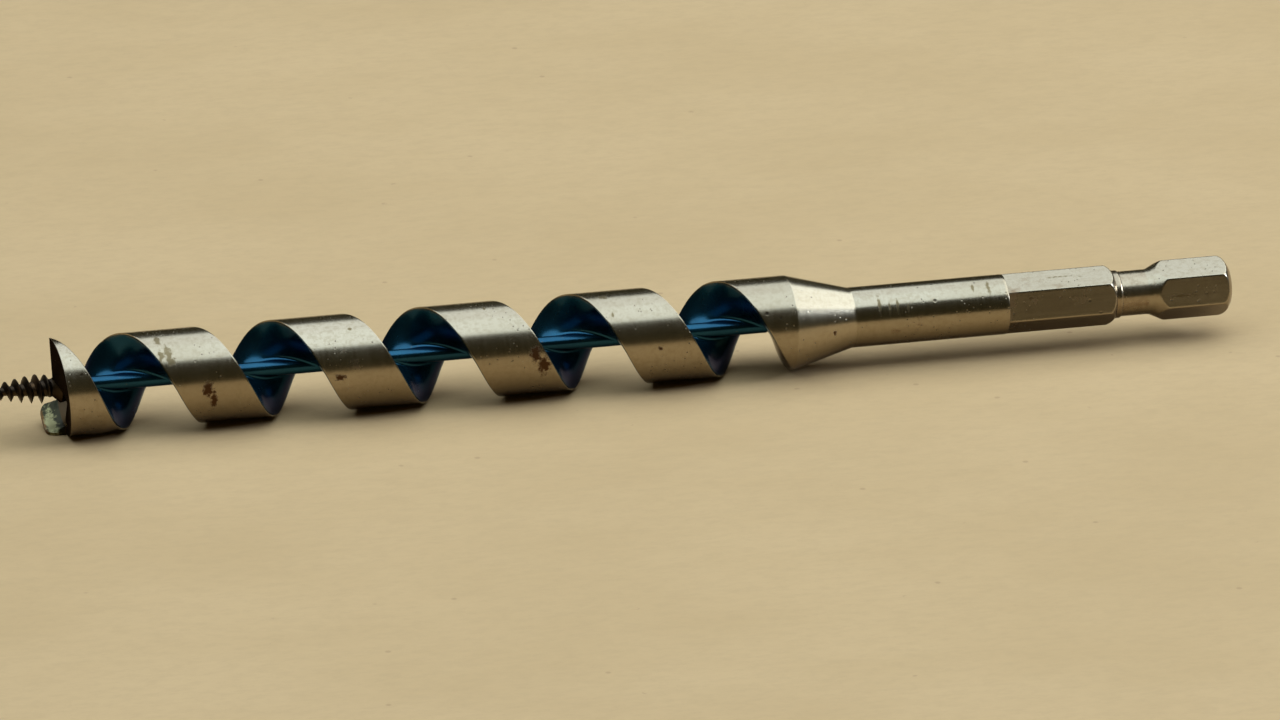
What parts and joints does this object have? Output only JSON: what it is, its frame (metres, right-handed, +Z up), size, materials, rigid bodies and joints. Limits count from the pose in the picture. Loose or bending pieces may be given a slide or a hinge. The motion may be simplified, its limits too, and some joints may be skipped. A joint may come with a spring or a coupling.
{
  "type": "wood auger bit",
  "caption": "Wood auger bit with a tapered feed screw, a spur and lip head, a coated single-flute twist and a hex quick-change shank.",
  "frame": {"origin": "centre of the flat end face of the hex shank", "axes": "+X along the bit's axis out of the drive end, so the feed screw points to -X; +Z up as the bit lies on a bench"},
  "size_m": [0.1549, 0.012, 0.012],
  "materials": {
    "ground_steel": "ground bright, fine marks round the bit, small brown stains",
    "head_steel": "milled and tempered, brownish",
    "shank_steel": "turned bright, worn, light stains and scratches",
    "groove_steel": "turned, dull",
    "blackened_steel": "oxidised black-brown from heat treatment",
    "blue_enamel": "dark blue baked coating, semi-gloss"
  },
  "bodies": {
    "root": {"feed_screw": "blackened_steel", "cutting_head": "head_steel", "scoring_spur": "head_steel", "twist_flight": "ground_steel", "flute_coating": "blue_enamel", "shoulder_cone": "ground_steel", "round_shank": "shank_steel", "hex_drive": "shank_steel", "retaining_groove": "groove_steel", "hex_tail": "shank_steel"}
  },
  "joints": []
}
